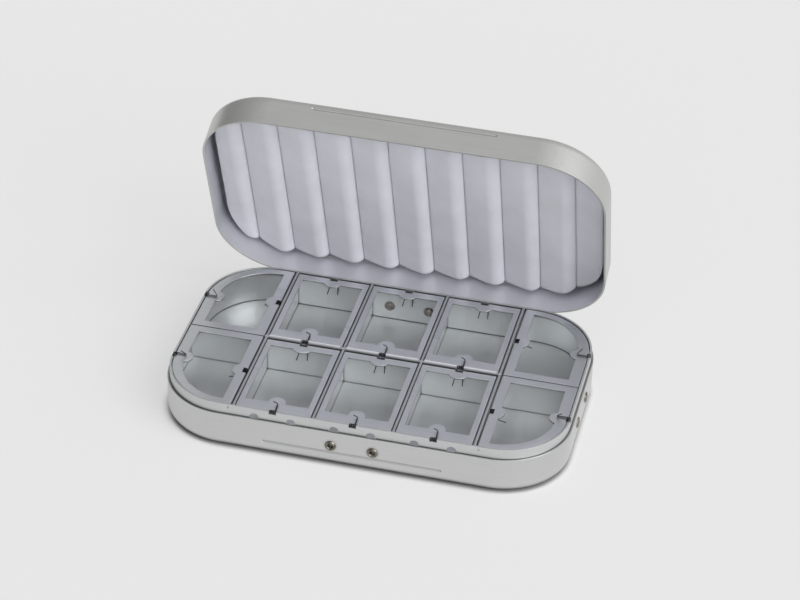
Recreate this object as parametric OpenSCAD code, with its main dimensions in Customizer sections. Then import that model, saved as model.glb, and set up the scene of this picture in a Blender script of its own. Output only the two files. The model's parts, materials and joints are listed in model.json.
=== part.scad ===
// Fly box: a pressed aluminium case with a riveted ten-compartment tray.
// Every compartment has its own sprung lid with a clear window and a wire catch.
// Origin at the centre of the case's flat bottom, +X along the case, +Y to the hinge, +Z up.

/* [Case] */
// Length of the case, left to right
case_l = 152; // [126:1:184]
// Width of the case, front to back
case_w = 92; // [76:1:112]
// Height of the base shell up to its rim
base_h = 14.7; // [12:0.1:18]
// Height of the lid shell from rim to crown
lid_h = 13.8; // [13.5:0.1:17]
// Corner radius of the case seen from above
corner_r = 25.7; // [21:0.1:31]
// Radius between the walls and the flat bottom or crown
edge_r = 3.8; // [2.5:0.1:4.6]
// Thickness of the pressed sheet
sheet_t = 0.7; // [0.5:0.05:0.9]
// Angle between the lid and the base, as it stands
lid_open = 69.3; // [0:0.1:180]
// Gap between the rims of the closed case
rim_gap = 0.05; // [0.02:0.01:0.2]

/* [Pressed beads] */
// Half length of the bead in the front wall of the base
base_bead = 33; // [20:0.5:40]
// Height of that bead above the bottom
base_bead_z = 5.7; // [5:0.1:7]
// Half length of the bead in the front wall of the lid
lid_bead = 34; // [20:0.5:40]
// Height of that bead above the rim of the lid
lid_bead_z = 9.75; // [6:0.05:10]
// Radius of the bead's section
bead_r = 0.6; // [0.4:0.05:0.8]
// Depth of the bead in the sheet
bead_depth = 0.3; // [0.15:0.05:0.35]

/* [Case hinge] */
// Length of the hinge along the back
hinge_l = 66; // [50:1:80]
// Height of each leaf on its wall
leaf_h = 5.7; // [5:0.1:6.5]
// Thickness of the leaves
leaf_t = 0.5; // [0.4:0.05:0.6]
// Outer radius of the knuckles
knuckle_r = 1.6; // [1.4:0.05:2]
// Radius of the hinge pin
pin_r = 0.7; // [0.5:0.05:0.8]
// Running clearance of the pin in its knuckles
pin_fit = 0.05; // [0.02:0.01:0.1]
// Gap between neighbouring knuckles, and from a knuckle to the wall
knuckle_gap = 0.1; // [0.1:0.05:0.3]

/* [Tray] */
// Clearance between the tray and the base shell
tray_fit = 0.15; // [0.12:0.01:0.3]
// Height of the tray wall above the rim of the base
tray_rise = 4.1; // [3.8:0.1:4.4]
// Thickness of the tray wall
wall_t = 0.7; // [0.6:0.05:0.9]
// Thickness of the tray floor
floor_t = 0.7; // [0.5:0.05:0.9]
// Height of the floor's underside above the line where it would touch the shell
floor_lift = 0.25; // [0.15:0.05:0.5]
// Open seam between the tray wall and its floor
seam = 0.2; // [0.1:0.05:0.4]
// Thickness of the dividers
divider_t = 0.5; // [0.4:0.05:0.8]
// Thickness of the hem along the top of a divider
hem_t = 1.1; // [0.9:0.05:1.4]
// Height of that hem
hem_h = 2.5; // [2.2:0.1:4]
// Rise of the middle divider's hem above the tray's rim
mid_hem_rise = 1.0; // [0:0.1:1.5]
// Length of the notches in that rise, where the cross dividers pass
hem_break = 2.3; // [1.5:0.1:3]
// Play of the dividers in the wall and in each other's slots
slot_fit = 0.05; // [0.02:0.01:0.15]
// Radius of the round holes in the front wall
vent_r = 1.8; // [1:0.1:2]
// Distance of those holes from the middle of their column
vent_x = 6.85; // [5:0.05:9]
// Depth of their centres below the tray's rim
vent_drop = 3.8; // [2.8:0.1:4]

/* [Tray rivets] */
// Distance of the front and back rivets from the middle
rivet_x = 7.8; // [6:0.1:12]
// Distance of the end rivets from the middle
rivet_y = 8; // [6:0.1:12]
// Height of the front and end rivets
rivet_z = 8.7; // [8:0.1:10]
// Height of the back rivets, which also hold the hinge
back_rivet_z = 9.6; // [9.3:0.1:10]
// Outer radius of a rivet's shank
rivet_r = 1.35; // [1.2:0.05:1.6]
// Radius of the hole through a rivet
rivet_bore = 0.95; // [0.6:0.05:1]
// Radius of the rolled edge of a rivet's head
rivet_roll = 0.55; // [0.4:0.05:0.6]

/* [Compartment lids] */
// Gap between a lid and the walls and dividers around it
lid_gap = 0.35; // [0.25:0.05:0.5]
// Gap between a lid's hinge edge and the wall behind it
hinge_gap = 0.25; // [0.2:0.05:0.5]
// Gap between two end lids that meet over the middle divider
meet_gap = 0.5; // [0.4:0.05:1]
// Depth of the lids below the tray's rim
lid_drop = 0.3; // [0.2:0.05:0.5]
// Thickness of a lid's flat frame
frame_t = 0.5; // [0.4:0.05:0.55]
// Depth of a lid's turned-down edge
frame_h = 1.7; // [1.65:0.05:1.8]
// Thickness of that edge
skirt_t = 0.45; // [0.35:0.05:0.5]
// Width of the folded lip under the window
lip_w = 1.6; // [1.2:0.1:2]
// Thickness of that lip
lip_t = 0.4; // [0.3:0.05:0.4]
// Thickness of the clear window
window_t = 0.7; // [0.5:0.05:0.7]
// Width of the frame along the hinge
hinge_border = 4.0; // [3.5:0.1:4.5]
// Width of the frame along the catch, on the middle lids
catch_border = 5.05; // [4.5:0.05:6]
// Width of the frame along the sides, on the middle lids
side_border = 2.15; // [1.8:0.05:3]
// Width of the frame along the catch, on the end lids
end_catch_border = 4.2; // [3.8:0.1:5]
// Width of the frame beside the middle divider, on the end lids
end_mid_border = 3.45; // [2.5:0.05:4]
// Width of the frame along the curved wall, on the end lids
end_side_border = 2.6; // [2:0.1:3]
// Corner radius of the end windows
end_window_r = 20; // [15:0.5:20]
// Half width and reach of the tab over the spring
hinge_tab = [3.3, 1.9];
// Radius of the tab under the catch
catch_tab_r = 3.2; // [2.5:0.1:4]
// Reach of that tab into the window, middle lids
catch_tab = 3.5; // [2:0.1:4]
// Reach of that tab into the window, end lids
end_catch_tab = 2.6; // [2:0.1:3]
// Distance of the end lids' springs from the middle divider
end_spring_y = 22.7; // [15:0.1:26]
// Distance of the end lids' catches beyond the start of the case's corners
end_catch_past = 0.1; // [-4:0.1:0.4]
// Radius of the rolled hinge edge
roll_r = 1.0; // [0.95:0.05:1.1]
// Radius of the lids' hinge rods
rod_r = 0.5; // [0.4:0.05:0.5]
// Running clearance of the lids on their rods
rod_fit = 0.05; // [0.02:0.01:0.1]

/* [Lid springs] */
// Radius of the spring wire
spring_wire = 0.15; // [0.1:0.01:0.16]
// Radius of a curl at the middle of the wire
spring_curl = 0.75; // [0.72:0.01:0.8]
// Number of curls
spring_turns = 3; // [2:1:3]
// Distance from curl to curl
spring_pitch = 0.75; // [0.72:0.01:0.78]
// Width and depth of the notch in the lid for the spring
spring_notch = [3.0, 1.9];
// Reach of the leg that lifts the lid
lift_leg = 5.6; // [5:0.1:12]
// Length of the leg that bears on the wall
wall_leg = 5.6; // [5:0.1:9]

/* [Catches] */
// Radius of the catch wire
catch_wire = 0.2; // [0.12:0.01:0.2]
// Radius of a catch's curl at the middle of the wire
catch_curl = 0.45; // [0.42:0.01:0.46]
// Number of curls
catch_turns = 2.25; // [1.25:1:2.25]
// Distance from curl to curl
catch_pitch = 0.8; // [0.78:0.01:0.85]
// Radius of the pin that a catch turns on
catch_pin = 0.19; // [0.12:0.01:0.19]
// Length of that pin
catch_pin_l = 3.6; // [3.3:0.1:5]
// Depth of the pin's axis below the tray's rim
catch_pin_drop = 0.3; // [0.25:0.05:0.4]
// Reach of the catch over its lid
catch_reach = 4.4; // [3.5:0.1:5]
// Height of the thumb end above the lid
catch_rise = 2.3; // [1.5:0.1:2.4]
// Width of the notches in the walls for the curls
catch_notch = 2.7; // [2.6:0.1:3.2]

/* [Ripple foam] */
// Distance from ripple to ripple
ripple_pitch = 13.97; // [10:0.1:18]
// Height of a ripple
ripple_h = 2.6; // [1.5:0.1:3.5]
// Share of a ripple that falls away behind its crest
ripple_fall = 0.3; // [0.2:0.05:0.45]
// Depth of the crests below the rim of the lid
crest_depth = 7.0; // [6.8:0.1:9]
// Clearance between the foam and the end walls of the lid
foam_end_gap = 1.8; // [1:0.1:3]
// Clearance between the foam and the long walls of the lid
foam_side_gap = 1.6; // [1.6:0.1:3]
// Thickness of the glue between the foam and the crown
glue_t = 0.4; // [0.35:0.05:0.6]

/* [Hidden] */
$fn = 64;
COLUMNS = 5;
ROWS = ["back", "front"];
PARTS = ["frame", "window", "spring", "catch"];
function part_name(row, col, what) = str(row, "_", col, "_", what);

// Case
hinge_y = case_w / 2 + knuckle_r + knuckle_gap;
hinge_z = base_h + rim_gap / 2;
lid_rim_z = base_h + rim_gap;

// Tray
rim_z = base_h + tray_rise;
tray_l = case_l - 2 * (sheet_t + tray_fit);
tray_w = case_w - 2 * (sheet_t + tray_fit);
tray_r = corner_r - sheet_t - tray_fit;
in_x = tray_l / 2 - wall_t;
in_y = tray_w / 2 - wall_t;
in_r = tray_r - wall_t;
edge_in = edge_r - sheet_t;
floor_z = edge_r - sqrt(edge_in * edge_in - pow(edge_in - tray_fit, 2)) + floor_lift;
floor_top = floor_z + floor_t;
lap_z = (floor_top + rim_z) / 2;
pitch = 2 * in_x / COLUMNS;
function column_x(col) = (col - (COLUMNS + 1) / 2) * pitch;
function divider_x(k) = (k - COLUMNS / 2) * pitch;

// Compartment lids, in their own frame: u along the hinge, v from the hinge edge to the catch edge
lid_top = rim_z - lid_drop;
lid_under = lid_top - frame_h;
axis_z = lid_top - roll_r;
mid_w = pitch - hem_t - 2 * lid_gap;
mid_l = in_y - hem_t / 2 - hinge_gap - lid_gap;
end_x = divider_x(COLUMNS - 1) + hem_t / 2 + hinge_gap;
end_l = in_x - lid_gap - end_x;
end_r = in_r - lid_gap;
window_from = roll_r * 2 + lid_gap;
edge_play = 0.1;
end_catch_y = case_w / 2 - corner_r + end_catch_past;
low_divider_z = lid_under - lid_gap;

// What differs between a middle lid and an end lid
MID = [
    [-mid_w / 2, mid_w / 2, mid_l, 0],
    [side_border - mid_w / 2, mid_w / 2 - side_border, mid_l - catch_border, 0],
    [0, 0, catch_tab]
];
END = [
    [meet_gap / 2, in_y - lid_gap, end_l, end_r],
    [meet_gap / 2 + end_mid_border, in_y - lid_gap - end_side_border, end_l - end_catch_border, end_window_r],
    [end_spring_y, end_catch_y, end_catch_tab]
];
function is_end(col) = col == 1 || col == COLUMNS;
function form(col) = is_end(col) ? END : MID;
function spring_u(col) = form(col)[2][0];
function catch_u(col) = form(col)[2][1];

// Catch pins stand just inside the wall's face, at the catch edge
catch_set = 0.03;
catch_axis_v = lid_gap + catch_set;
catch_axis_z = rim_z - catch_pin_drop;
curl_out = catch_curl + catch_wire;
catch_clear = 0.25;
notch_in = curl_out - catch_axis_v + 0.3;
catch_over = 0.13;

// Foam
foam_back = lid_rim_z + lid_h - sheet_t - glue_t;
foam_l = case_l - 2 * (sheet_t + foam_end_gap);
foam_w = case_w - 2 * (sheet_t + foam_side_gap);
foam_r = corner_r - sheet_t - foam_end_gap + 0.3;
ripples = ceil(foam_l / ripple_pitch);
// Odd, so that one ripple lies in the middle
ripple_count = ripples % 2 == 1 ? ripples : ripples + 1;
// Angle by which the straight rise cuts into the crest, and how far a ripple's root is sunk
crest_bite = 2.5;
sink = 1.5;

eps = 0.01;

ALUMINIUM = "#C2C5C6";
FRAME_ALUMINIUM = "#A9ABB3";
FOAM_GREY = "#C4C4CE";
BRONZE = "#7B7266";
WIRE = "#2A2A2E";
CLEAR = [0.85, 0.88, 0.88, 0.35];

// General shapes

// Rounded rectangle on the origin
module plan(l, w, r) {
    square([l - 2 * r, w], center = true);
    square([l, w - 2 * r], center = true);
    for (x = [-1, 1], y = [-1, 1]) translate([x * (l / 2 - r), y * (w / 2 - r)]) circle(r);
}

// Rectangle in a lid's frame, whose far corner can be round
module panel(u0, u1, v0, v1, r) {
    difference() {
        translate([u0, v0]) square([u1 - u0, v1 - v0]);
        if (r > 0) translate([u1 - r, v1 - r]) difference() {
            square(r + 1);
            circle(r);
        }
    }
}

// Cylinder along X, centred on the origin
module bar_x(r, l) {
    rotate([0, 90, 0]) cylinder(r = r, h = l, center = true);
}

// Cylinder along Y, centred on the origin
module bar_y(r, l) {
    rotate([90, 0, 0]) cylinder(r = r, h = l, center = true);
}

// Section of a pressed shell, from its straight wall to the start of its flat bottom
module wall_section(h) {
    translate([edge_r - sheet_t, edge_r]) square([sheet_t, h - edge_r]);
    translate([0, edge_r]) intersection() {
        difference() {
            circle(edge_r);
            circle(edge_in);
        }
        translate([0, -edge_r]) square(edge_r);
    }
}

// One straight wall of a shell, in the middle of the side that faces +X
module straight_wall(l, reach, h) {
    translate([reach - edge_r, l / 2, 0]) rotate([90, 0, 0]) linear_extrude(l) wall_section(h);
}

// Open pressed tub with a flat bottom, as high as h
module tub(h) {
    flat_x = case_l / 2 - corner_r;
    flat_y = case_w / 2 - corner_r;
    linear_extrude(sheet_t) plan(case_l - 2 * edge_r, case_w - 2 * edge_r, corner_r - edge_r);
    for (a = [0, 180]) rotate(a) straight_wall(2 * flat_y, case_l / 2, h);
    for (a = [90, 270]) rotate(a) straight_wall(2 * flat_x, case_w / 2, h);
    for (x = [0, 1], y = [0, 1]) mirror([x, 0, 0]) mirror([0, y, 0]) translate([flat_x, flat_y, 0])
        rotate_extrude(angle = 90) translate([corner_r - edge_r, 0]) wall_section(h);
}

// Tool that leaves a pressed bead in a front wall
module bead(half_l) {
    translate([0, -case_w / 2 - bead_r + bead_depth, 0]) {
        bar_x(bead_r, 2 * half_l);
        for (x = [-1, 1]) translate([x * half_l, 0, 0]) sphere(bead_r);
    }
}

// What belongs to the case's lid, swung open about the case hinge
module swung() {
    translate([0, hinge_y, hinge_z]) rotate([-lid_open, 0, 0]) translate([0, -hinge_y, -hinge_z]) children();
}

// Places of the eight tray rivets: outer face of the shell, turned so that +Z points inwards
module at_rivets() {
    for (x = [-1, 1]) {
        translate([x * rivet_x, -case_w / 2, rivet_z]) rotate([-90, 0, 0]) children(0);
        translate([x * rivet_x, case_w / 2 + leaf_t, back_rivet_z]) rotate([90, 0, 0]) children(1);
        for (y = [-1, 1]) translate([x * case_l / 2, y * rivet_y, rivet_z]) rotate([0, -90 * x, 0]) children(0);
    }
}

module rivet_holes() {
    at_rivets() {
        translate([0, 0, -2]) cylinder(r = rivet_r, h = 6);
        translate([0, 0, -2]) cylinder(r = rivet_r, h = 6);
    }
}

// Frame of a compartment lid: u along +X, v along +Y
module in_lid(row, col) {
    if (is_end(col))
        mirror([col == 1 ? 1 : 0, 0, 0]) mirror([0, row == "front" ? 1 : 0, 0])
            translate([end_x, 0, 0]) mirror([1, -1, 0]) children();
    else
        translate([column_x(col), row == "back" ? in_y - hinge_gap : -hem_t / 2 - hinge_gap, 0])
            rotate(180) children();
}

module in_all_lids() {
    for (row = ROWS, col = [1 : COLUMNS]) in_lid(row, col) translate([catch_u(col), form(col)[0][2], 0])
        children();
}

// Room for the curls of the catches and for the pins that carry them
module catch_cuts() {
    in_all_lids() {
        translate([-catch_notch / 2, 0, catch_axis_z - curl_out - catch_clear])
            cube([catch_notch, lid_gap + hem_t + wall_t, 5]);
        translate([0, catch_axis_v, catch_axis_z]) bar_x(catch_pin, catch_pin_l);
    }
}

// Wire forms

function unit(v) = v / norm(v);
function along(p, i) = unit(p[min(i + 1, len(p) - 1)] - p[max(i - 1, 0)]);
function ring(p, i, r, sides) =
    let (t = along(p, i), a = unit(cross(t, [1, 0, 0])), b = cross(a, t))
    [for (k = [0 : sides - 1]) p[i] + r * (cos(360 * k / sides) * a + sin(360 * k / sides) * b)];

// Round wire along a list of points, none of whose stretches runs along X
module wire(p, r, sides = 6) {
    last = len(p) - 1;
    points = [for (i = [0 : last]) each ring(p, i, r, sides)];
    sleeve = [
        for (i = [0 : last - 1], k = [0 : sides - 1])
        let (a = i * sides + k, b = i * sides + (k + 1) % sides)
        each [[a, b, b + sides], [a, b + sides, a + sides]]
    ];
    start = [for (k = [1 : sides - 2]) [0, k + 1, k]];
    end = [for (k = [1 : sides - 2]) [for (c = [0, k, k + 1]) last * sides + c]];
    polyhedron(points, concat(sleeve, start, end));
}

STEPS = 8;
// Curls about X from the bottom, wound towards -Y there, from one side to the other
function curls(r, turns, pitch, from) =
    [for (i = [0 : turns * STEPS])
        let (a = from + 360 * i / STEPS)
        [pitch * (turns / 2 - i / STEPS), -r * sin(a), -r * cos(a)]];

// Least gap of a coil to itself, between stretches over half a turn apart
function own_gap(p, wire_r) =
    min([for (i = [0 : len(p) - 1], j = [0 : len(p) - 1]) if (j - i > STEPS / 2) norm(p[j] - p[i]) - 2 * wire_r]);

spring_side = spring_turns * spring_pitch / 2;
spring_coil = curls(spring_curl, spring_turns, spring_pitch, 0);
spring_path = concat(
    [
        [spring_side + 0.15, lift_leg, -spring_curl - 1.35],
        [spring_side + 0.15, lift_leg * 0.55, -spring_curl - 0.75],
        [spring_side + 0.1, lift_leg * 0.2, -spring_curl - 0.2]
    ],
    spring_coil,
    [
        [-spring_side - 0.05, -0.55, -spring_curl - 0.15],
        [-spring_side - 0.1, -0.9, -spring_curl - 0.75],
        [-spring_side - 0.1, -0.95, -wall_leg + 1.3],
        [-spring_side - 0.1, -0.75, -wall_leg + 0.6],
        [-spring_side - 0.3, 0.1, -wall_leg]
    ]
);

catch_side = catch_turns * catch_pitch / 2;
catch_coil = [for (q = curls(catch_curl, catch_turns, catch_pitch, -90)) [q[0], q[1], -q[2]]];
arm_z = lid_top - catch_axis_z + catch_over + catch_wire;
catch_path = concat(
    catch_coil,
    [
        [0.05 - catch_side, -0.9, catch_curl + 0.02],
        [0.2 - catch_side, 0.6 - catch_reach, arm_z + 0.06],
        [0.3 - catch_side, 0.15 - catch_reach, arm_z],
        [0.3 - catch_side, -catch_reach, arm_z + 0.15],
        [0.45 - catch_side, 0.1 - catch_reach, arm_z + 0.45],
        [1.3 - catch_side, 1.6 - catch_reach, arm_z + catch_rise - 0.15]
    ]
);

echo(str("least gap of a lid spring to itself: ", own_gap(spring_coil, spring_wire), " mm"));
echo(str("least gap of a catch to itself: ", own_gap(catch_coil, catch_wire), " mm"));

// Case

module base_shell() {
    color(ALUMINIUM) difference() {
        tub(base_h);
        translate([0, 0, base_bead_z]) bead(base_bead);
        rivet_holes();
    }
}

module lid_shell() {
    color(ALUMINIUM) swung() difference() {
        translate([0, 0, lid_rim_z + lid_h]) mirror([0, 0, 1]) tub(lid_h);
        translate([0, 0, lid_rim_z + lid_bead_z]) bead(lid_bead);
    }
}

// Leaf on the outside of the back wall below the pin, with every other knuckle from the given one
module leaf(first) {
    count = 5;
    step = hinge_l / count;
    clear_r = knuckle_r + 0.2;
    difference() {
        union() {
            translate([-hinge_l / 2, -hinge_y + case_w / 2, -clear_r - leaf_h]) cube([hinge_l, leaf_t, leaf_h]);
            for (k = [first : 2 : count - 1]) translate([(k + 0.5) * step - hinge_l / 2, 0, 0]) {
                bar_x(knuckle_r, step - knuckle_gap);
                translate([knuckle_gap / 2 - step / 2, -hinge_y + case_w / 2, -clear_r - eps])
                    cube([step - knuckle_gap, leaf_t, clear_r + eps]);
            }
        }
        bar_x(pin_r + pin_fit, hinge_l + 2);
    }
}

module hinge_base_leaf() {
    color(ALUMINIUM) difference() {
        translate([0, hinge_y, hinge_z]) leaf(0);
        rivet_holes();
    }
}

module hinge_lid_leaf() {
    color(ALUMINIUM) swung() translate([0, hinge_y, hinge_z]) mirror([0, 0, 1]) leaf(1);
}

module hinge_pin() {
    color(ALUMINIUM) translate([0, hinge_y, hinge_z]) bar_x(pin_r, hinge_l + 0.6);
}

// One ripple over its pitch, along +Z: a straight rise into a round crest, both sunk into the sheet
module ripple(l) {
    fall = ripple_fall * ripple_pitch;
    crest_r = (fall * fall + ripple_h * ripple_h) / (2 * ripple_h);
    centre = [ripple_pitch - fall, ripple_h - crest_r];
    slope = atan2(centre[1], centre[0]) + asin(crest_r / norm(centre)) - crest_bite;
    rise = sqrt(centre * centre - crest_r * crest_r) * [cos(slope), sin(slope)];
    linear_extrude(l) polygon([[-1, -tan(slope)], rise, [rise[0], -sink], [-1, -sink]]);
    translate(centre) cylinder(r = crest_r, h = l);
}

module ripple_foam() {
    crest_z = lid_rim_z + crest_depth;
    root_z = crest_z + ripple_h;
    color(FOAM_GREY) swung() intersection() {
        union() {
            translate([-foam_l / 2 - 5, -case_w, root_z + sink / 5]) cube([foam_l + 10, 2 * case_w, lid_h]);
            for (k = [0 : ripple_count - 1])
                translate([(k - ripple_count / 2) * ripple_pitch, case_w, root_z])
                    rotate([90, 0, 0]) mirror([0, 1, 0]) ripple(2 * case_w);
        }
        translate([0, 0, crest_z - 1]) linear_extrude(foam_back - crest_z + 1) plan(foam_l, foam_w, foam_r);
    }
}

// Tray

module tray_floor() {
    color(ALUMINIUM) translate([0, 0, floor_z]) linear_extrude(floor_t) plan(tray_l, tray_w, tray_r);
}

module tray_wall() {
    color(ALUMINIUM) difference() {
        translate([0, 0, floor_top + seam]) linear_extrude(rim_z - floor_top - seam) difference() {
            plan(tray_l, tray_w, tray_r);
            plan(2 * in_x, 2 * in_y, in_r);
        }
        rivet_holes();
        for (col = [2 : COLUMNS - 1], x = [-vent_x, vent_x])
            translate([column_x(col) + x, -in_y, rim_z - vent_drop]) bar_y(vent_r, 4 * wall_t);
        for (x = [-1, 1]) translate([x * (end_x + roll_r), 0, axis_z]) bar_y(rod_r, case_w);
        catch_cuts();
    }
}

// Sheet on edge with a folded, round-topped hem, along Y
module divider(l, hem_l, top_z) {
    translate([-divider_t / 2, -l / 2, floor_top]) cube([divider_t, l, low_divider_z - floor_top]);
    translate([0, hem_l / 2, 0]) rotate([90, 0, 0]) linear_extrude(hem_l) {
        translate([-divider_t / 2, low_divider_z - eps]) square([divider_t, top_z - hem_t / 2 - low_divider_z]);
        translate([-hem_t / 2, rim_z - hem_h]) square([hem_t, top_z - rim_z + hem_h - hem_t / 2]);
        translate([0, top_z - hem_t / 2]) circle(hem_t / 2);
    }
}

module middle_divider() {
    color(ALUMINIUM) difference() {
        rotate(90)
            divider(2 * (in_x - slot_fit), 2 * divider_x(COLUMNS - 1) + hem_t + 2 * slot_fit, rim_z + mid_hem_rise);
        for (k = [1 : COLUMNS - 1]) {
            translate([divider_x(k) - divider_t / 2 - slot_fit, -5, floor_top - 1])
                cube([divider_t + 2 * slot_fit, 10, lap_z - floor_top + 1]);
            translate([divider_x(k) - hem_break / 2, -5, rim_z]) cube([hem_break, 10, 5]);
        }
        catch_cuts();
    }
}

module cross_divider(k) {
    color(ALUMINIUM) translate([divider_x(k), 0, 0]) difference() {
        divider(2 * (in_y - slot_fit), 2 * (in_y - slot_fit), rim_z);
        translate([-5, -hem_t / 2 - slot_fit, lap_z]) cube([10, hem_t + 2 * slot_fit, rim_z]);
        for (y = [in_y - hinge_gap, -hem_t / 2 - hinge_gap])
            translate([0, y - roll_r, axis_z]) bar_x(rod_r, 10);
    }
}

// Rolled eyelet through sheets of the given thickness, from the outside inwards along +Z
module eyelet(grip) {
    rotate_extrude() {
        translate([rivet_bore, -eps]) square([rivet_r - rivet_bore, grip + 2 * eps]);
        intersection() {
            translate([rivet_bore + rivet_roll, 0]) circle(rivet_roll);
            translate([0, -5]) square([10, 5]);
        }
        intersection() {
            translate([rivet_bore + rivet_roll, grip]) circle(rivet_roll);
            translate([0, grip]) square([10, 5]);
        }
    }
}

module tray_rivets() {
    grip = sheet_t + tray_fit + wall_t;
    color(BRONZE) at_rivets() {
        eyelet(grip);
        eyelet(grip + leaf_t);
    }
}

// Compartment lids

module row_rod(y) {
    color(ALUMINIUM) translate([0, y - roll_r, axis_z]) bar_x(rod_r, 2 * divider_x(COLUMNS - 1) + hem_t);
}

module end_rod(side) {
    color(ALUMINIUM) translate([side * (end_x + roll_r), 0, axis_z]) bar_y(rod_r, tray_w);
}

module catch_pins() {
    color(WIRE) in_all_lids() translate([0, catch_axis_v, catch_axis_z]) bar_x(catch_pin, catch_pin_l);
}

// Window opening of a lid without its two tabs
module opening(f) {
    w = f[1];
    tab_r = (pow(hinge_tab[0], 2) + pow(hinge_tab[1], 2)) / (2 * hinge_tab[1]);
    difference() {
        panel(w[0], w[1], hinge_border, w[2], w[3]);
        translate([f[2][0], hinge_border + hinge_tab[1] - tab_r]) circle(tab_r);
        translate([f[2][1], w[2] - f[2][2] + catch_tab_r]) circle(catch_tab_r);
    }
}

// A lid's outline, drawn in from its sides and its catch edge
module lid_outline(f, from, by) {
    o = f[0];
    panel(o[0] + by, o[1] - by, from, o[2] - by, max(o[3] - by, 0));
}

module lid_frame(row, col) {
    f = form(col);
    o = f[0];
    width = o[1] - o[0];
    color(FRAME_ALUMINIUM) in_lid(row, col) difference() {
        union() {
            translate([0, 0, lid_top - frame_t]) linear_extrude(frame_t) difference() {
                lid_outline(f, roll_r, 0);
                opening(f);
            }
            translate([0, 0, lid_under]) linear_extrude(frame_h) difference() {
                lid_outline(f, roll_r, 0);
                lid_outline(f, 0, skirt_t);
            }
            translate([0, 0, lid_under]) linear_extrude(lip_t) difference() {
                lid_outline(f, window_from, 0);
                lid_outline(f, 0, lip_w);
            }
            translate([(o[0] + o[1]) / 2, roll_r, axis_z]) bar_x(roll_r, width);
        }
        translate([(o[0] + o[1]) / 2, roll_r, axis_z]) bar_x(rod_r + rod_fit, width + 2);
        translate([spring_u(col) - spring_notch[0] / 2, -1, lid_under - 5])
            cube([spring_notch[0], spring_notch[1] + 1, 20]);
        translate([catch_u(col) - catch_notch / 2, o[2] - notch_in, lid_under - 5]) cube([catch_notch, 5, 20]);
    }
}

module lid_window(row, col) {
    f = form(col);
    by = skirt_t + edge_play;
    color(CLEAR) in_lid(row, col) difference() {
        translate([0, 0, lid_under + lip_t])
            linear_extrude(window_t) lid_outline(f, window_from, by);
        translate([catch_u(col) - catch_notch / 2 - edge_play, f[0][2] - notch_in - edge_play, lid_under - 5])
            cube([catch_notch + 2 * edge_play, 5, 20]);
    }
}

module lid_spring(row, col) {
    color(WIRE) in_lid(row, col) translate([spring_u(col), roll_r, axis_z]) wire(spring_path, spring_wire);
}

module lid_catch(row, col) {
    color(WIRE) in_lid(row, col)
        translate([catch_u(col), form(col)[0][2] + catch_axis_v, catch_axis_z]) wire(catch_path, catch_wire);
}

base_shell();
tray_wall();
tray_floor();
middle_divider();
cross_divider(1);  // cross_divider_1
cross_divider(2);  // cross_divider_2
cross_divider(3);  // cross_divider_3
cross_divider(4);  // cross_divider_4
lid_shell();
ripple_foam();
hinge_base_leaf();
hinge_lid_leaf();
hinge_pin();
tray_rivets();
row_rod(in_y - hinge_gap);  // back_hinge_rod
row_rod(-hem_t / 2 - hinge_gap);  // mid_hinge_rod
end_rod(-1);  // left_hinge_rod
end_rod(1);  // right_hinge_rod
catch_pins();
for (row = ROWS, col = [1 : COLUMNS]) {
    lid_frame(row, col);
    lid_window(row, col);
    lid_spring(row, col);
    lid_catch(row, col);
}
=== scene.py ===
import json
import math
from functools import partial

import bpy
from mathutils import Matrix, Vector, noise


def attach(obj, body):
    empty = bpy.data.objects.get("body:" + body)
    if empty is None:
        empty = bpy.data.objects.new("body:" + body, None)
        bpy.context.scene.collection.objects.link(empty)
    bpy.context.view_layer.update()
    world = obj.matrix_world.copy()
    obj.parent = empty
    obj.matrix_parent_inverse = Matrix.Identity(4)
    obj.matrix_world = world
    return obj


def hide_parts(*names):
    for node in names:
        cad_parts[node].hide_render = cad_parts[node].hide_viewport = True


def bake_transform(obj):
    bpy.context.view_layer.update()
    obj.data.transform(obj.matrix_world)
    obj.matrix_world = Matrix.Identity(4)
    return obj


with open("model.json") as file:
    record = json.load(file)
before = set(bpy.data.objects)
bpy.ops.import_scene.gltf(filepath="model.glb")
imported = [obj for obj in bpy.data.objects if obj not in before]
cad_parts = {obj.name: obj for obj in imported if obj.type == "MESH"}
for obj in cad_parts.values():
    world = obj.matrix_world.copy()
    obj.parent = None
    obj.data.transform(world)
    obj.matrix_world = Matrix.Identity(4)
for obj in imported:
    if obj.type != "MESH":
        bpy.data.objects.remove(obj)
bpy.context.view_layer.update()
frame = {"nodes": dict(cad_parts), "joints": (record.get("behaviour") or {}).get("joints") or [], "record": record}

MM = 0.001


# Colours and nodes

def paint(code, alpha=1.0):
    """A colour written as sRGB hex, as Blender's linear one."""
    channels = [int(code[i:i + 2], 16) / 255 for i in (1, 3, 5)]
    linear = [c / 12.92 if c <= 0.04045 else ((c + 0.055) / 1.055) ** 2.4 for c in channels]
    return (*linear, alpha)


def add_node(tree, kind, inputs=None, output=0, **settings):
    """Adds a node with its settings, sets or links its inputs, and gives one of its outputs."""
    made = tree.nodes.new("ShaderNode" + kind)
    for name, value in settings.items():
        setattr(made, name, value)
    for name, value in (inputs or {}).items():
        if isinstance(value, bpy.types.NodeSocket):
            tree.links.new(value, made.inputs[name])
        else:
            made.inputs[name].default_value = value
    return made.outputs[output] if made.outputs else None


def start_nodes(owner):
    """Empties a material's or world's node tree, and gives the function that adds nodes to it."""
    owner.use_nodes = True
    owner.node_tree.nodes.clear()
    return partial(add_node, owner.node_tree)


# Case lid: what rides on it is drawn closed, and swung open about the hinge

hinge = next(j for j in frame["joints"] if j["name"] == "case_lid_hinge")
LID_OPEN = -math.radians(hinge["range_deg"][0])
HINGE_AT = Vector(hinge["pos_m"])
SWING = (
    Matrix.Translation(HINGE_AT)
    @ Matrix.Rotation(-LID_OPEN, 4, "X")
    @ Matrix.Translation(-HINGE_AT)
)


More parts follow.
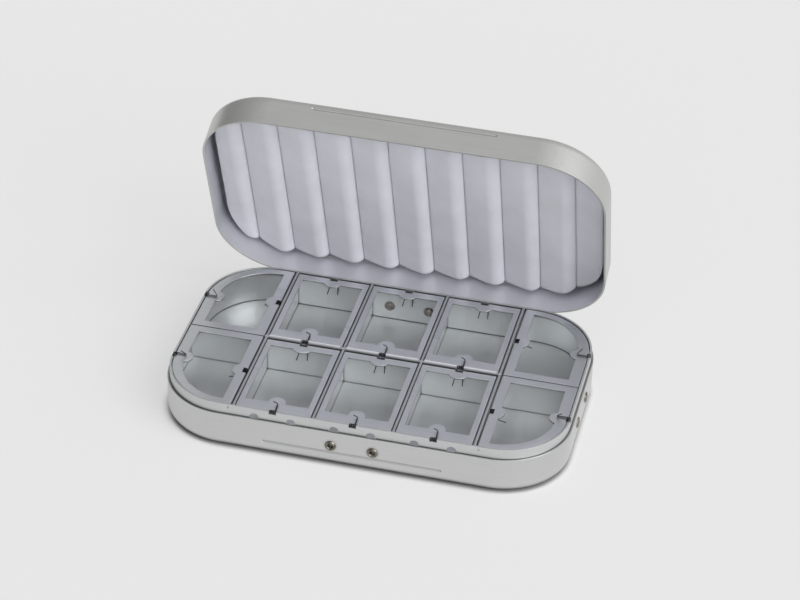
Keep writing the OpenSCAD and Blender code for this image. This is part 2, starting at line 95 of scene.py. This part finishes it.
# Materials, whose patterns have their sizes in millimetres

X_AXIS, Y_AXIS = 0, 1
# The colour sockets of a Mix node, whose names its other sockets share
SHARE, FIRST, SECOND, MIXED = 0, 6, 7, 2
# The range that most of a noise lies in, and the one from a long wall's normal to an end wall's
MIDDLE = {"From Min": 0.3, "From Max": 0.7}
LONG_TO_END = {"From Min": 0.45, "From Max": 0.95}

STREAK_SPACING, STREAK_LENGTH, STREAK_DEPTH, DULL_PATCH = 0.22, 40, 0.03, 22
HEM_BLUR, INNER_BLUR = 0.2, 0.5
# Painted shade: the dark colour painted into corners, beads and narrow gaps, full below this openness
SHADE_TONE, FULL_SHADE_BELOW = "#5C5D5E", 0.4

# The floor is painted darker where the box nearly touches it, a painted contact shadow,
# from how open each place is
FLOOR_COLOUR, CONTACT_SHADOW_COLOUR, CONTACT_REACH = "#E3E3E3", "#8C8C8C", 4
CONTACT_TO_CLEAR = {"From Min": 0.4, "From Max": 0.65}
NO_GLOW_TO_GLOW = {"From Min": 0.45, "From Max": 0.95, "To Max": 0.68}


def grain_frame(node, on_lid):
    """Point and normal in the piece's own frame, which on the case lid is the closed one."""
    point, normal = node("TexCoord", output="Object"), node("TexCoord", output="Normal")
    if not on_lid:
        return point, normal
    return [
        node(
            "VectorRotate", {"Vector": vector, "Center": centre, "Angle": LID_OPEN},
            rotation_type="X_AXIS",
        )
        for vector, centre in ((point, HINGE_AT), (normal, Vector((0, 0, 0))))
    ]


def streaks(node, point, long_axis, spacing):
    """Brushing: a noise drawn out along one axis."""
    scale = [1 / (spacing * MM)] * 3
    scale[long_axis] = 1 / (STREAK_LENGTH * MM)
    stretched = node("Mapping", {"Vector": point, "Scale": scale})
    return node("TexNoise", {"Vector": stretched, "Scale": 1.0, "Detail": 3, "Roughness": 0.6})


def aluminium(
    name, light, dark, rough, relief, on_lid=False, spacing=STREAK_SPACING, edge=0.12,
    inner=None, hem=None, gap_shade=(0.9, 0.85), metallic=1.0,
):
    """Pressed aluminium sheet, brushed and left bare: soft broad reflections broken by fine streaks
    along the sheet, slightly duller in patches, with edges rounded just enough to catch the light.
    The streaks are drawn coarser than the real grit, about 0.1 mm, so that they show.
    edge is the edges' radius. inner gives the colour painted on the faces turned inwards, a painted
    light for what they reflect, with the middle's height. hem gives the darker colour painted on the
    folded top edges, a painted shade that dulls their highlight, with the height where they start.
    grime gives the reach of the painted shade in corners, beads and narrow gaps, and how open a
    place stays unshaded. A metallic below 1 is for etched sheet, which scatters some light."""
    made = bpy.data.materials.new(name)
    node = start_nodes(made)
    point, normal = grain_frame(node, on_lid)

    sideways = node(
        "Math", {0: node("SeparateXYZ", {"Vector": normal}, "X")}, operation="ABSOLUTE"
    )
    at_end = node("MapRange", {"Value": sideways, **LONG_TO_END})
    line = node(
        "Mix",
        {
            "Factor": at_end, "A": streaks(node, point, X_AXIS, spacing),
            "B": streaks(node, point, Y_AXIS, spacing),
        },
    )
    bright = node("MapRange", {"Value": line, **MIDDLE})
    tone = node(
        "Mix", {SHARE: bright, FIRST: paint(dark), SECOND: paint(light)}, MIXED, data_type="RGBA"
    )
    # Painted light: the faces turned inwards are painted in a brighter colour, for the light they reflect
    if inner:
        inner_light_tone, middle_height = inner
        middle = Vector((0, 0, middle_height * MM))
        away = node("VectorMath", {0: point, 1: middle}, operation="SUBTRACT")
        outwards = node("VectorMath", {0: normal, 1: away}, "Value", operation="DOT_PRODUCT")
        faces_in = node(
            "MapRange",
            {
                "Value": outwards, "From Min": -INNER_BLUR * MM, "From Max": INNER_BLUR * MM,
                "To Min": 1.0, "To Max": 0.0,
            },
        )
        tone = node(
            "Mix", {SHARE: faces_in, FIRST: tone, SECOND: paint(inner_light_tone)}, MIXED,
            data_type="RGBA",
        )
    # Painted shade: above the hem's height the sheet is painted darker, dulling its highlight
    if hem:
        hem_shade_tone, hem_start = hem
        height = node("SeparateXYZ", {"Vector": point}, "Z")
        at_hem = node(
            "MapRange",
            {
                "Value": height, "From Min": (hem_start - HEM_BLUR) * MM,
                "From Max": (hem_start + HEM_BLUR) * MM,
            },
        )
        tone = node(
            "Mix", {SHARE: at_hem, FIRST: tone, SECOND: paint(hem_shade_tone)}, MIXED, data_type="RGBA"
        )
    # Painted shade: where ambient occlusion finds a place closed in, its colour is painted darker
    shade_reach, unshaded_from = gap_shade
    openness = node("AmbientOcclusion", {"Distance": shade_reach * MM}, "AO", samples=6)
    unshaded = node("MapRange", {"Value": openness, "From Min": FULL_SHADE_BELOW, "From Max": unshaded_from})
    tone = node(
        "Mix", {SHARE: unshaded, FIRST: paint(SHADE_TONE), SECOND: tone}, MIXED, data_type="RGBA"
    )

    patch = node("TexNoise", {"Vector": point, "Scale": 1 / (DULL_PATCH * MM), "Detail": 2.0})
    roughness = node(
        "Math",
        {
            0: node(
                "MapRange",
                {"Value": line, **MIDDLE, "To Min": rough - 0.05, "To Max": rough + 0.05},
            ),
            1: node("MapRange", {"Value": patch, **MIDDLE, "To Min": -0.03, "To Max": 0.03}),
        },
        operation="ADD",
    )
    bump = node(
        "Bump",
        {
            "Height": line, "Strength": relief, "Distance": STREAK_DEPTH * MM,
            "Normal": node("Bevel", {"Radius": edge * MM}, samples=4),
        },
    )
    metal = node(
        "BsdfPrincipled",
        {"Base Color": tone, "Metallic": metallic, "Roughness": roughness, "Normal": bump},
    )
    node("OutputMaterial", {"Surface": metal})
    return made


def stained_metal(name, dark, light, stain_size, detail, shiny, dull):
    """Metal without a grain, whose tone and gloss both follow its stains."""
    made = bpy.data.materials.new(name)
    node = start_nodes(made)
    stain = node(
        "TexNoise",
        {
            "Vector": node("TexCoord", output="Object"), "Scale": 1 / (stain_size * MM),
            "Detail": detail,
        },
    )
    bright = node("MapRange", {"Value": stain, **MIDDLE})
    tone = node(
        "Mix", {SHARE: bright, FIRST: paint(dark), SECOND: paint(light)}, MIXED, data_type="RGBA"
    )
    roughness = node("MapRange", {"Value": stain, **MIDDLE, "To Min": shiny, "To Max": dull})
    metal = node(
        "BsdfPrincipled", {"Base Color": tone, "Metallic": 1.0, "Roughness": roughness}
    )
    node("OutputMaterial", {"Surface": metal})
    return made


def spring_steel(name, dark, light):
    """Hard-drawn spring wire with oil scale: dark, with one thin line of light along it."""
    return stained_metal(name, dark, light, 1.5, 3.0, 0.28, 0.45)


def eyelet_bronze():
    """Bronzed brass eyelets, rolled over: brown, brighter where the roll is burnished."""
    return stained_metal("bronzed_eyelet", "#5F5A52", "#9A948A", 1.2, 4.0, 0.25, 0.42)


def clear_sheet():
    """Windows stamped from clear rigid sheet, slightly wavy: seen through, with a faint mirror
    image of what is above on the side that looks out."""
    made = bpy.data.materials.new("clear_window_sheet")
    node = start_nodes(made)
    point = node("TexCoord", output="Object")
    wave = node("TexNoise", {"Vector": point, "Scale": 1 / (14 * MM), "Detail": 1.0})
    bump = node("Bump", {"Height": wave, "Strength": 0.25, "Distance": 0.2 * MM})
    through = node("BsdfTransparent", {"Color": paint("#FCFCFC")})
    tint = node(
        "BsdfPrincipled",
        {
            "Base Color": paint("#E8ECEC"), "Metallic": 0.0, "Roughness": 0.06, "IOR": 1.5,
            "Alpha": 0.1, "Normal": bump,
        },
    )
    body = node("MixShader", {0: 0.1, 1: through, 2: tint})
    inside = node("NewGeometry", output="Backfacing")
    outside = node("Math", {0: 1.0, 1: inside}, operation="SUBTRACT")
    facing = node("Fresnel", {"IOR": 1.45, "Normal": bump})
    share = node("Math", {0: facing, 1: outside}, operation="MULTIPLY")
    gloss = node("BsdfGlossy", {"Roughness": 0.05, "Normal": bump})
    node("OutputMaterial", {"Surface": node("MixShader", {0: share, 1: body, 2: gloss})})
    return made


def eva_foam():
    """Closed-cell EVA foam, moulded in ripples: matt, finely pitted by its cells, with a touch of
    sheen. The cells are drawn coarser than the real ones, about 0.2 mm, so that they show."""
    made = bpy.data.materials.new("eva_ripple_foam")
    node = start_nodes(made)
    point, _ = grain_frame(node, True)
    cells = node("TexVoronoi", {"Vector": point, "Scale": 1 / (0.55 * MM)})
    cloud = node("TexNoise", {"Vector": point, "Scale": 1 / (16 * MM), "Detail": 4.0})
    pale = node("MapRange", {"Value": cloud, **MIDDLE})
    tone = node(
        "Mix", {SHARE: pale, FIRST: paint("#C8C8D0"), SECOND: paint("#D2D2DA")}, MIXED,
        data_type="RGBA",
    )
    foam = node(
        "BsdfPrincipled",
        {
            "Base Color": tone, "Roughness": 0.85, "IOR": 1.4, "Sheen Weight": 0.15,
            "Sheen Roughness": 0.5,
            "Normal": node("Bump", {"Height": cells, "Strength": 0.35, "Distance": 0.08 * MM}),
        },
    )
    node("OutputMaterial", {"Surface": foam})
    return made


def pale_floor():
    """Studio sweep of matt paper, painted darker where the box nearly touches it, a painted contact
    shadow. What looks at it, directly or in metal and windows, sees its own colour over more than
    half, so that the shadow stays soft, but not where the box nearly touches it."""
    made = bpy.data.materials.new("studio_paper")
    node = start_nodes(made)
    point = node("TexCoord", output="Object")
    fibre = node("TexNoise", {"Vector": point, "Scale": 1 / (0.8 * MM), "Detail": 2.0})
    # Painted shadow: where the box closes the floor in, the paper is painted darker
    openness = node("AmbientOcclusion", {"Distance": CONTACT_REACH * MM}, "AO", samples=8)
    clear = node("MapRange", {"Value": openness, **CONTACT_TO_CLEAR})
    tone = node(
        "Mix", {SHARE: clear, FIRST: paint(CONTACT_SHADOW_COLOUR), SECOND: paint(FLOOR_COLOUR)}, MIXED,
        data_type="RGBA",
    )
    paper = node(
        "BsdfPrincipled",
        {
            "Base Color": tone, "Roughness": 0.95, "Specular IOR Level": 0.0,
            "Normal": node("Bump", {"Height": fibre, "Strength": 0.05, "Distance": 0.05 * MM}),
        },
    )
    glow = node("Emission", {"Color": paint(FLOOR_COLOUR), "Strength": 1.0})
    looks = node("LightPath", output="Is Camera Ray")
    for other in ("Is Glossy Ray", "Is Transmission Ray"):
        looks = node("Math", {0: looks, 1: node("LightPath", output=other)}, operation="MAXIMUM")
    open_share = node("MapRange", {"Value": openness, **NO_GLOW_TO_GLOW})
    share = node("Math", {0: looks, 1: open_share}, operation="MULTIPLY")
    node("OutputMaterial", {"Surface": node("MixShader", {0: share, 1: paper, 2: glow})})
    return made


# Outside of the case: brushed and handled, an even warm grey, with painted shade along its beads
case_sheet = aluminium(
    "brushed_case_aluminium", "#D4D5D4", "#CACBCA", 0.38, 0.18, gap_shade=(1.3, 0.99)
)
# The lid was brushed in the same way; its inside is painted brighter, as painted reflected light
# Like the case, it gets painted shade in its corners and narrow gaps
lid_sheet = aluminium(
    "brushed_lid_aluminium", "#CFCFCD", "#C4C4C2", 0.38, 0.18, on_lid=True,
    inner=("#E8E9EC", 24), gap_shade=(1.3, 0.99),
)
# Inside of the tray: etched to a satin, so that the compartments look pale and hardly mirror
# anything, with painted shade in the corners. The dividers' hems are painted darker, a painted
# shade that dulls their highlight, the middle one's least.
tray_sheet = aluminium(
    "satin_tray_aluminium", "#E2E5E6", "#DADDDE", 0.38, 0.04, hem=("#B6B8BC", 17.4),
    metallic=0.85,
)
spine_sheet = aluminium(
    "satin_spine_aluminium", "#E2E5E6", "#DADDDE", 0.38, 0.04, hem=("#D2D4D8", 17.4),
    metallic=0.85,
)
# Tray wall: its inside is painted paler than its outside, as painted light, with painted shade in corners
wall_sheet = aluminium(
    "satin_wall_aluminium", "#CFD1D1", "#C5C7C7", 0.42, 0.08, inner=("#E2E5E6", 10),
    metallic=0.85,
)
# Lid frames: satin, with rolled edges that take a line of light, and painted shade in the gaps between them
frame_sheet = aluminium(
    "satin_frame_aluminium", "#E2E5E7", "#D7DADC", 0.33, 0.1, edge=0.35, gap_shade=(2.0, 0.8)
)
# Case hinge: plated steel, brushed like the sheet, which looks a little darker
hinge_sheet = aluminium("hinge_steel", "#C2C2C0", "#A8A8A6", 0.3, 0.2, spacing=0.3)
spring_wire = spring_steel("oil_scaled_spring_wire", "#232225", "#3A393B")
catch_wire = spring_steel("drawn_catch_wire", "#3E3F42", "#66676A")
foam_stuff = eva_foam()

by_slot = {
    "case_aluminium": case_sheet,
    "tray_aluminium": tray_sheet,
    "lid_aluminium": frame_sheet,
    "hinge_steel": hinge_sheet,
    "rivet_bronze": eyelet_bronze(),
    "spring_wire": spring_wire,
    "window_clear": clear_sheet(),
    "foam_grey": foam_stuff,
}
by_node = {"lid_shell": lid_sheet, "tray_wall": wall_sheet, "middle_divider": spine_sheet}
for part in frame["record"]["subparts"]:
    own = frame["nodes"][part["node"]].data.materials
    own.clear()
    own.append(by_node.get(part["node"]) or by_slot[part["material_slot"]])


# Meshes

def make_piece(name, points, faces, material, smooth=True):
    mesh = bpy.data.meshes.new(name)
    mesh.from_pydata([tuple(p) for p in points], [], faces)
    mesh.materials.append(material)
    mesh.polygons.foreach_set("use_smooth", [smooth] * len(mesh.polygons))
    mesh.update()
    piece = bpy.data.objects.new(name, mesh)
    bpy.context.scene.collection.objects.link(piece)
    return piece


# Ripple foam, in millimetres and drawn with the case closed

FOAM_L, FOAM_W, FOAM_R = 147.0, 87.4, 23.5
FOAM_ROOT, FOAM_BACK = 24.35, 27.45
RIPPLE, CREST, FALL, RIPPLES = 13.97, 2.6, 0.3 * 13.97, 11
SWELL, CREASE, CREASE_W = 0.12, 0.8, 0.14
WAVE, WAVE_L, WAVE_W = 0.12, 18, 30
ROUNDING, ROUNDING_W = 0.25, 0.5
CREASE_STEPS = [0.08, 0.16, 0.26, 0.4, 0.6, 0.9]
BROAD_FROM, BROAD_TO, BROAD_STEPS = 2, RIPPLE - 1.4, 28
ROWS = 48


def ripple_height(along):
    """Height of the foam above its creases at a place along one ripple: a swelling rise, a round
    crest, and a fall into a narrow crease."""
    crest_r = (FALL * FALL + CREST * CREST) / (2 * CREST)
    centre = Vector((RIPPLE - FALL, CREST - crest_r))
    slope = math.atan2(centre.y, centre.x) + math.asin(crest_r / centre.length)
    leaves = centre.x - crest_r * math.sin(slope)
    if along > leaves:
        off = along - centre.x
        height = centre.y + math.sqrt(max(crest_r * crest_r - off * off, 0))
    else:
        height = along * math.tan(slope) + SWELL * math.sin(math.pi * along / leaves)
    return height - CREASE * math.exp(-min(along, RIPPLE - along) / CREASE_W)


def foam_columns():
    """Places along the foam, each with its place along its ripple. They lie closest together at
    the creases, and the sheet's ends cut through the outer ripples."""
    half_l, cut = FOAM_L / 2, (RIPPLES * RIPPLE - FOAM_L) / 2
    steps = [0] + CREASE_STEPS + [1.4]
    steps += [
        BROAD_FROM + (BROAD_TO - BROAD_FROM) * i / BROAD_STEPS for i in range(BROAD_STEPS + 1)
    ]
    steps += [RIPPLE - s for s in reversed(CREASE_STEPS)]
    places = [((k - RIPPLES / 2) * RIPPLE + s, s) for k in range(RIPPLES) for s in steps]
    inside = [p for p in places if abs(p[0]) < half_l - 0.1]
    return [(-half_l, cut)] + inside + [(half_l, RIPPLE - cut)]


def foam_sheet():
    half_l, half_w = FOAM_L / 2, FOAM_W / 2
    places = foam_columns()
    last, side = len(places) - 1, ROWS + 1
    front, faces = [], []
    for x, along in places:
        corner = max(abs(x) - (half_l - FOAM_R), 0)
        reach = half_w - FOAM_R + math.sqrt(max(FOAM_R * FOAM_R - corner * corner, 0))
        for j in range(side):
            y = -reach + 2 * reach * j / ROWS
            wave = WAVE * noise.noise(Vector((x / WAVE_L, y / WAVE_W, 3.0)))
            to_edge = min(reach - abs(y), half_l - abs(x))
            rounding = ROUNDING * math.exp(-to_edge / ROUNDING_W)
            front.append(Vector((x, y, FOAM_ROOT - (ripple_height(along) + wave - rounding))))
    for i in range(last):
        for j in range(ROWS):
            a = i * side + j
            faces.append((a, a + 1, a + side + 1, a + side))
    rim = [i * side for i in range(last + 1)]
    rim += [last * side + j for j in range(1, side)]
    rim += [i * side + ROWS for i in range(last - 1, -1, -1)]
    rim += list(range(ROWS - 1, 0, -1))
    back = [Vector((front[k].x, front[k].y, FOAM_BACK)) for k in rim]
    first, count = len(front), len(rim)
    for k in range(count):
        n = (k + 1) % count
        faces.append((rim[k], rim[n], first + n, first + k))
    faces.append(tuple(range(first, first + count)))
    points = [SWING @ (p * MM) for p in front + back]
    return make_piece("ripple_foam_sheet", points, faces, foam_stuff)


foam = foam_sheet()
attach(foam, "case_lid")
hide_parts("ripple_foam")


# Springs and catches, as unbroken round wires, in millimetres

COLUMNS, HEM, LID_GAP, HINGE_GAP, ROLL = 5, 1.1, 0.35, 0.25, 1.0
IN_X, IN_Y, RIM = 74.45, 44.45, 18.8
LID_DROP, CATCH_PIN_DROP, CATCH_OVER, CATCH_BEHIND = 0.3, 0.3, 0.13, 0.03
PITCH = 2 * IN_X / COLUMNS
LID_TOP = RIM - LID_DROP
ROD_Z = LID_TOP - ROLL
END_X = (COLUMNS / 2 - 1) * PITCH + HEM / 2 + HINGE_GAP
MID_L = IN_Y - HEM / 2 - HINGE_GAP - LID_GAP
END_L = IN_X - LID_GAP - END_X
END_SPRING, END_CATCH = 22.7, 20.4
CATCH_V, CATCH_Z = LID_GAP + CATCH_BEHIND, RIM - CATCH_PIN_DROP

SPRING_WIRE, SPRING_CURL, SPRING_TURNS, SPRING_PITCH = 0.2, 0.75, 3, 0.75
LIFT_LEG, WALL_LEG = 5.6, 5.6
CATCH_WIRE, CATCH_CURL, CATCH_TURNS, CATCH_PITCH = 0.2, 0.45, 2.25, 0.8
CATCH_REACH, CATCH_RISE = 4.4, 2.3
CURL_STEPS, LEG_STEPS, WIRE_SIDES = 20, 6, 10
# Steps of a wire's domed end: how far out, and how wide, as shares of its radius
DOME = [(0.35, 0.93), (0.75, 0.66), (0.95, 0.31)]


def is_end(col):
    return col in (1, COLUMNS)


def on_lid(row, col, u, v, z):
    """A place in metres, given along a compartment lid's hinge, away from it, and up."""
    if is_end(col):
        x, y = END_X + v, u
        return Vector((-x if col == 1 else x, -y if row == "front" else y, z)) * MM
    edge = IN_Y - HINGE_GAP if row == "back" else -HEM / 2 - HINGE_GAP
    return Vector(((col - (COLUMNS + 1) / 2) * PITCH - u, edge - v, z)) * MM


def curls(r, turns, pitch, start):
    """A coil round the first axis, from its high end down, starting at an angle in degrees."""
    count = round(turns * CURL_STEPS)
    angles = [math.radians(start + 360 * i / CURL_STEPS) for i in range(count + 1)]
    return [
        Vector((pitch * (turns / 2 - i / CURL_STEPS), -r * math.sin(a), -r * math.cos(a)))
        for i, a in enumerate(angles)
    ]


def smooth_path(points, coil_from, coil_to):
    """A curve through the points. It takes more of them along the legs, but none in the coil, which
    lies between the two numbers."""
    made = []
    last = len(points) - 1
    for i in range(last):
        made.append(points[i])
        if coil_from <= i < coil_to:
            continue
        p0, p1, p2, p3 = (points[min(max(k, 0), last)] for k in (i - 1, i, i + 1, i + 2))
        span = (p2 - p1).length
        t1 = (p2 - p0) * (span / (span + (p1 - p0).length))
        t2 = (p3 - p1) * (span / (span + (p3 - p2).length))
        for step in range(1, LEG_STEPS):
            t = step / LEG_STEPS
            made.append(
                p1 * (2 * t**3 - 3 * t**2 + 1) + t1 * (t**3 - 2 * t**2 + t)
                + p2 * (3 * t**2 - 2 * t**3) + t2 * (t**3 - t**2)
            )
    made.append(points[last])
    return made


def wire(name, path, radius, material):
    """Round wire along a path, with a domed end at each side."""
    last = len(path) - 1
    tangents = [
        (path[min(i + 1, last)] - path[max(i - 1, 0)]).normalized() for i in range(last + 1)
    ]
    across = tangents[0].orthogonal().normalized()
    rings = []
    for p, t in zip(path, tangents):
        across = (across - t * across.dot(t)).normalized()
        rings.append((p, 1.0, across, t.cross(across)))
    first_dome = [
        (path[0] - tangents[0] * radius * out, size, *rings[0][2:]) for out, size in reversed(DOME)
    ]
    last_dome = [
        (path[last] + tangents[last] * radius * out, size, *rings[last][2:]) for out, size in DOME
    ]
    stations = first_dome + rings + last_dome
    turns = [2 * math.pi * k / WIRE_SIDES for k in range(WIRE_SIDES)]
    points = [
        p + (a * math.cos(turn) + b * math.sin(turn)) * (radius * size)
        for p, size, a, b in stations for turn in turns
    ]
    faces = []
    for ring in range(0, (len(stations) - 1) * WIRE_SIDES, WIRE_SIDES):
        for k in range(WIRE_SIDES):
            n = (k + 1) % WIRE_SIDES
            faces.append((ring + k, ring + n, ring + WIRE_SIDES + n, ring + WIRE_SIDES + k))
    faces.append(tuple(reversed(range(WIRE_SIDES))))
    faces.append(tuple(range(len(points) - WIRE_SIDES, len(points))))
    return make_piece(name, points, faces, material)


def spring_route():
    """A lid spring's line from its rod's axis: a leg under the lid, the coil and a leg down the
    wall. The second result is how far the coil reaches to each side."""
    side = SPRING_TURNS * SPRING_PITCH / 2
    coil = curls(SPRING_CURL, SPRING_TURNS, SPRING_PITCH, 0)
    lift = [
        Vector((side + 0.15, LIFT_LEG, -SPRING_CURL - 1.35)),
        Vector((side + 0.15, LIFT_LEG * 0.55, -SPRING_CURL - 0.75)),
        Vector((side + 0.1, LIFT_LEG * 0.2, -SPRING_CURL - 0.2)),
    ]
    wall = [
        Vector((-side - 0.05, -0.55, -SPRING_CURL - 0.15)),
        Vector((-side - 0.1, -0.9, -SPRING_CURL - 0.75)),
        Vector((-side - 0.1, -0.95, -WALL_LEG + 1.3)),
        Vector((-side - 0.1, -0.75, -WALL_LEG + 0.6)),
        Vector((-side - 0.3, 0.1, -WALL_LEG)),
    ]
    return smooth_path(lift + coil + wall, len(lift), len(lift) + len(coil) - 1), side


def catch_route():
    """A catch's line from its pin's axis: the coil, an arm over the lid and a thumb end turned
    up."""
    side = CATCH_TURNS * CATCH_PITCH / 2
    coil = [Vector((q.x, q.y, -q.z)) for q in curls(CATCH_CURL, CATCH_TURNS, CATCH_PITCH, -90)]
    arm_z = LID_TOP - CATCH_Z + CATCH_OVER + CATCH_WIRE
    arm = [
        Vector((0.05 - side, -0.9, CATCH_CURL + 0.02)),
        Vector((0.2 - side, 0.6 - CATCH_REACH, arm_z + 0.06)),
        Vector((0.3 - side, 0.15 - CATCH_REACH, arm_z)),
        Vector((0.3 - side, -CATCH_REACH, arm_z + 0.15)),
        Vector((0.45 - side, 0.1 - CATCH_REACH, arm_z + 0.45)),
        Vector((1.3 - side, 1.6 - CATCH_REACH, arm_z + CATCH_RISE - 0.15)),
    ]
    return smooth_path(coil + arm, 0, len(coil) - 1)


spring_line, spring_side = spring_route()
catch_line = catch_route()
for row in ("back", "front"):
    for col in range(1, COLUMNS + 1):
        name = f"{row}_{col}"
        lid_l = END_L if is_end(col) else MID_L
        spring_u = END_SPRING if is_end(col) else 0
        catch_u = END_CATCH if is_end(col) else 0
        placed = [on_lid(row, col, spring_u + q.x, ROLL + q.y, ROD_Z + q.z) for q in spring_line]
        spring = wire(f"{name}_spring_wire", placed, SPRING_WIRE * MM, spring_wire)
        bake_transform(spring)
        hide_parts(f"{name}_spring")
        catch_v = lid_l + CATCH_V
        placed = [on_lid(row, col, catch_u + q.x, catch_v + q.y, CATCH_Z + q.z) for q in catch_line]
        catch = wire(f"{name}_catch_wire", placed, CATCH_WIRE * MM, catch_wire)
        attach(catch, f"{name}_catch")
        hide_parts(f"{name}_catch")


# Floor, light and camera

FLOOR_CORNERS = [(-6, -6, 0), (6, -6, 0), (6, 6, 0), (-6, 6, 0)]
floor = make_piece("studio_floor", FLOOR_CORNERS, [(0, 1, 2, 3)], pale_floor(), False)


def studio_world():
    """Soft light from all round, a little brighter overhead, and brighter on the right than on the
    left."""
    world = bpy.data.worlds.new("studio")
    bpy.context.scene.world = world
    node = start_nodes(world)
    toward = node("TexCoord", output="Generated")
    upwards = node(
        "MapRange",
        {
            "Value": node("SeparateXYZ", {"Vector": toward}, "Z"),
            "From Max": 0.9, "To Min": 0.5, "To Max": 0.64,
        },
    )
    sideways = node(
        "MapRange",
        {
            "Value": node("SeparateXYZ", {"Vector": toward}, "X"),
            "From Min": -0.9, "From Max": 0.9, "To Min": -0.24, "To Max": 0.28,
        },
    )
    level = node("Math", {0: upwards, 1: sideways}, operation="ADD")
    sky = node("Background", {"Color": paint("#FFFFFF"), "Strength": level})
    node("OutputWorld", {"Surface": sky})


def soft_sun(name, direction, strength, width_deg):
    """A broad far lamp, which shines from the given direction with the same strength everywhere."""
    lamp = bpy.data.lights.new(name, "SUN")
    lamp.energy = strength
    lamp.angle = math.radians(width_deg)
    holder = bpy.data.objects.new(name, lamp)
    holder.rotation_mode = "QUATERNION"
    holder.rotation_quaternion = Vector(direction).to_track_quat("Z", "Y")
    bpy.context.scene.collection.objects.link(holder)


studio_world()
soft_sun("key_softbox", (0.75, -0.42, 0.6), 1.9, 48)
soft_sun("fill_softbox", (0.5, -0.6, 0.65), 0.8, 90)

# The photograph's camera, fitted to the outlines of the shells and the tray, in radians and metres
CAMERA_AZIMUTH, CAMERA_ELEVATION, CAMERA_ROLL = 0.217488, 0.605888, 0.033854
CAMERA_DISTANCE, CAMERA_TARGET = 1.048229, Vector((-0.002054, 0.0364856, 0.0188082))
FOCAL_PIXELS, PICTURE_WIDTH, SENSOR_MM = 2738.205, 800, 36.0


def photo_camera():
    lens = bpy.data.cameras.new("photo_camera")
    lens.sensor_fit = "HORIZONTAL"
    lens.sensor_width = SENSOR_MM
    lens.lens = FOCAL_PIXELS / PICTURE_WIDTH * SENSOR_MM
    lens.clip_start, lens.clip_end = 0.05, 50
    camera = bpy.data.objects.new("photo_camera", lens)
    bpy.context.scene.collection.objects.link(camera)
    a, e = CAMERA_AZIMUTH, CAMERA_ELEVATION
    back = Vector((math.sin(a) * math.cos(e), -math.cos(a) * math.cos(e), math.sin(e)))
    right = Vector((math.cos(a), math.sin(a), 0))
    axes = Matrix((right, back.cross(right), back)).transposed()
    turn = (axes @ Matrix.Rotation(CAMERA_ROLL, 3, "Z")).to_4x4()
    camera.matrix_world = Matrix.Translation(CAMERA_TARGET + back * CAMERA_DISTANCE) @ turn
    bpy.context.scene.camera = camera


photo_camera()
bpy.context.scene.view_settings.view_transform = "Standard"
